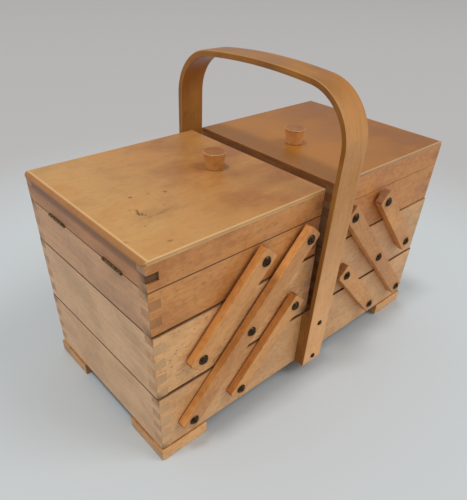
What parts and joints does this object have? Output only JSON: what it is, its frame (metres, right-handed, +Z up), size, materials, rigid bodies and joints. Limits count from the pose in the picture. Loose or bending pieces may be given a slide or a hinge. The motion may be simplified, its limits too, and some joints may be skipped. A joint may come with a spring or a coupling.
{
  "type": "cantilever sewing box",
  "caption": "Wooden sewing carrier: finger-jointed box, pairs of trays that swing out on links, two hinged lids with knobs, bentwood carrying hoop.",
  "frame": {"origin": "on the floor at the middle of the four feet, under the middle of the carrier", "axes": "+X along the carrier towards the right lid, -Y the front, +Z up"},
  "size_m": [0.444, 0.2535, 0.3456],
  "materials": {
    "beech": "satin varnish",
    "panel_wood": "satin varnish",
    "lid_wood": "satin varnish",
    "link_wood": "satin varnish",
    "bentwood": "satin varnish",
    "knob_wood": "satin varnish",
    "dark_screw": "dark bronzed",
    "hinge_metal": "aged satin"
  },
  "bodies": {
    "carrier_base": {"box_front_board": "beech", "box_back_board": "beech", "box_left_end_board": "beech", "box_right_end_board": "beech", "box_bottom_panel": "panel_wood", "box_pivot_screws": "dark_screw", "corner_feet": "beech", "handle_hoop": "bentwood", "handle_spacer_blocks": "beech", "handle_screws": "dark_screw"},
    "long_link_left": {"long_links_left": "link_wood"},
    "lower_link_left": {"lower_short_links_left": "link_wood"},
    "upper_link_left": {"upper_short_links_left": "link_wood"},
    "middle_tray_left": {"middle_tray_left_front_board": "beech", "middle_tray_left_back_board": "beech", "middle_tray_left_outer_end_board": "beech", "middle_tray_left_inner_end_board": "beech", "middle_tray_left_bottom_panel": "panel_wood", "middle_tray_left_pivot_screws": "dark_screw"},
    "top_tray_left": {"top_tray_left_front_board": "beech", "top_tray_left_back_board": "beech", "top_tray_left_outer_end_board": "beech", "top_tray_left_inner_end_board": "beech", "top_tray_left_bottom_panel": "panel_wood", "top_tray_left_pivot_screws": "dark_screw", "top_tray_left_hinge_leaves": "hinge_metal", "top_tray_left_hinge_pins": "hinge_metal"},
    "lid_left": {"lid_left_front_board": "beech", "lid_left_back_board": "beech", "lid_left_outer_end_board": "beech", "lid_left_inner_end_board": "beech", "lid_left_panel": "lid_wood", "lid_left_knob": "knob_wood", "lid_left_knob_screw": "dark_screw", "lid_left_hinge_leaves": "hinge_metal"},
    "long_link_right": {"long_links_right": "link_wood"},
    "lower_link_right": {"lower_short_links_right": "link_wood"},
    "upper_link_right": {"upper_short_links_right": "link_wood"},
    "middle_tray_right": {"middle_tray_right_front_board": "beech", "middle_tray_right_back_board": "beech", "middle_tray_right_outer_end_board": "beech", "middle_tray_right_inner_end_board": "beech", "middle_tray_right_bottom_panel": "panel_wood", "middle_tray_right_pivot_screws": "dark_screw"},
    "top_tray_right": {"top_tray_right_front_board": "beech", "top_tray_right_back_board": "beech", "top_tray_right_outer_end_board": "beech", "top_tray_right_inner_end_board": "beech", "top_tray_right_bottom_panel": "panel_wood", "top_tray_right_pivot_screws": "dark_screw", "top_tray_right_hinge_leaves": "hinge_metal", "top_tray_right_hinge_pins": "hinge_metal"},
    "lid_right": {"lid_right_front_board": "beech", "lid_right_back_board": "beech", "lid_right_outer_end_board": "beech", "lid_right_inner_end_board": "beech", "lid_right_panel": "lid_wood", "lid_right_knob": "knob_wood", "lid_right_knob_screw": "dark_screw", "lid_right_hinge_leaves": "hinge_metal"}
  },
  "joints": [
    {"name": "long_link_left_swing", "type": "hinge", "parent": "carrier_base", "child": "long_link_left", "pos_m": [-0.1855, 0, 0.0467], "axis": [0, -1, 0], "range_deg": [0, 86.5]},
    {"name": "middle_tray_left_swing", "type": "hinge", "parent": "long_link_left", "child": "middle_tray_left", "pos_m": [-0.111, 0, 0.1257], "axis": [0, -1, 0], "range_deg": [-86.5, 0]},
    {"name": "top_tray_left_swing", "type": "hinge", "parent": "long_link_left", "child": "top_tray_left", "pos_m": [-0.0365, 0, 0.2047], "axis": [0, -1, 0], "range_deg": [-86.5, 0]},
    {"name": "lower_link_left_swing", "type": "hinge", "parent": "carrier_base", "child": "lower_link_left", "pos_m": [-0.12, 0, 0.0467], "axis": [0, -1, 0], "range_deg": [0, 86.5]},
    {"name": "upper_link_left_swing", "type": "hinge", "parent": "middle_tray_left", "child": "upper_link_left", "pos_m": [-0.1735, 0, 0.1257], "axis": [0, -1, 0], "range_deg": [0, 86.5]},
    {"name": "lid_left_hinge", "type": "hinge", "parent": "top_tray_left", "child": "lid_left", "pos_m": [-0.2204, 0, 0.217], "axis": [0, -1, 0], "range_deg": [0, 105]},
    {"name": "long_link_right_swing", "type": "hinge", "parent": "carrier_base", "child": "long_link_right", "pos_m": [0.1855, 0, 0.0467], "axis": [0, 1, 0], "range_deg": [0, 86.5]},
    {"name": "middle_tray_right_swing", "type": "hinge", "parent": "long_link_right", "child": "middle_tray_right", "pos_m": [0.111, 0, 0.1257], "axis": [0, 1, 0], "range_deg": [-86.5, 0]},
    {"name": "top_tray_right_swing", "type": "hinge", "parent": "long_link_right", "child": "top_tray_right", "pos_m": [0.0365, 0, 0.2047], "axis": [0, 1, 0], "range_deg": [-86.5, 0]},
    {"name": "lower_link_right_swing", "type": "hinge", "parent": "carrier_base", "child": "lower_link_right", "pos_m": [0.12, 0, 0.0467], "axis": [0, 1, 0], "range_deg": [0, 86.5]},
    {"name": "upper_link_right_swing", "type": "hinge", "parent": "middle_tray_right", "child": "upper_link_right", "pos_m": [0.1735, 0, 0.1257], "axis": [0, 1, 0], "range_deg": [0, 86.5]},
    {"name": "lid_right_hinge", "type": "hinge", "parent": "top_tray_right", "child": "lid_right", "pos_m": [0.2204, 0, 0.217], "axis": [0, 1, 0], "range_deg": [0, 105]}
  ],
  "couplings": [
    {"joint": "middle_tray_left_swing", "follows": "long_link_left_swing", "ratio": -1},
    {"joint": "top_tray_left_swing", "follows": "long_link_left_swing", "ratio": -1},
    {"joint": "lower_link_left_swing", "follows": "long_link_left_swing", "ratio": 1},
    {"joint": "upper_link_left_swing", "follows": "long_link_left_swing", "ratio": 1},
    {"joint": "middle_tray_right_swing", "follows": "long_link_right_swing", "ratio": -1},
    {"joint": "top_tray_right_swing", "follows": "long_link_right_swing", "ratio": -1},
    {"joint": "lower_link_right_swing", "follows": "long_link_right_swing", "ratio": 1},
    {"joint": "upper_link_right_swing", "follows": "long_link_right_swing", "ratio": 1}
  ]
}
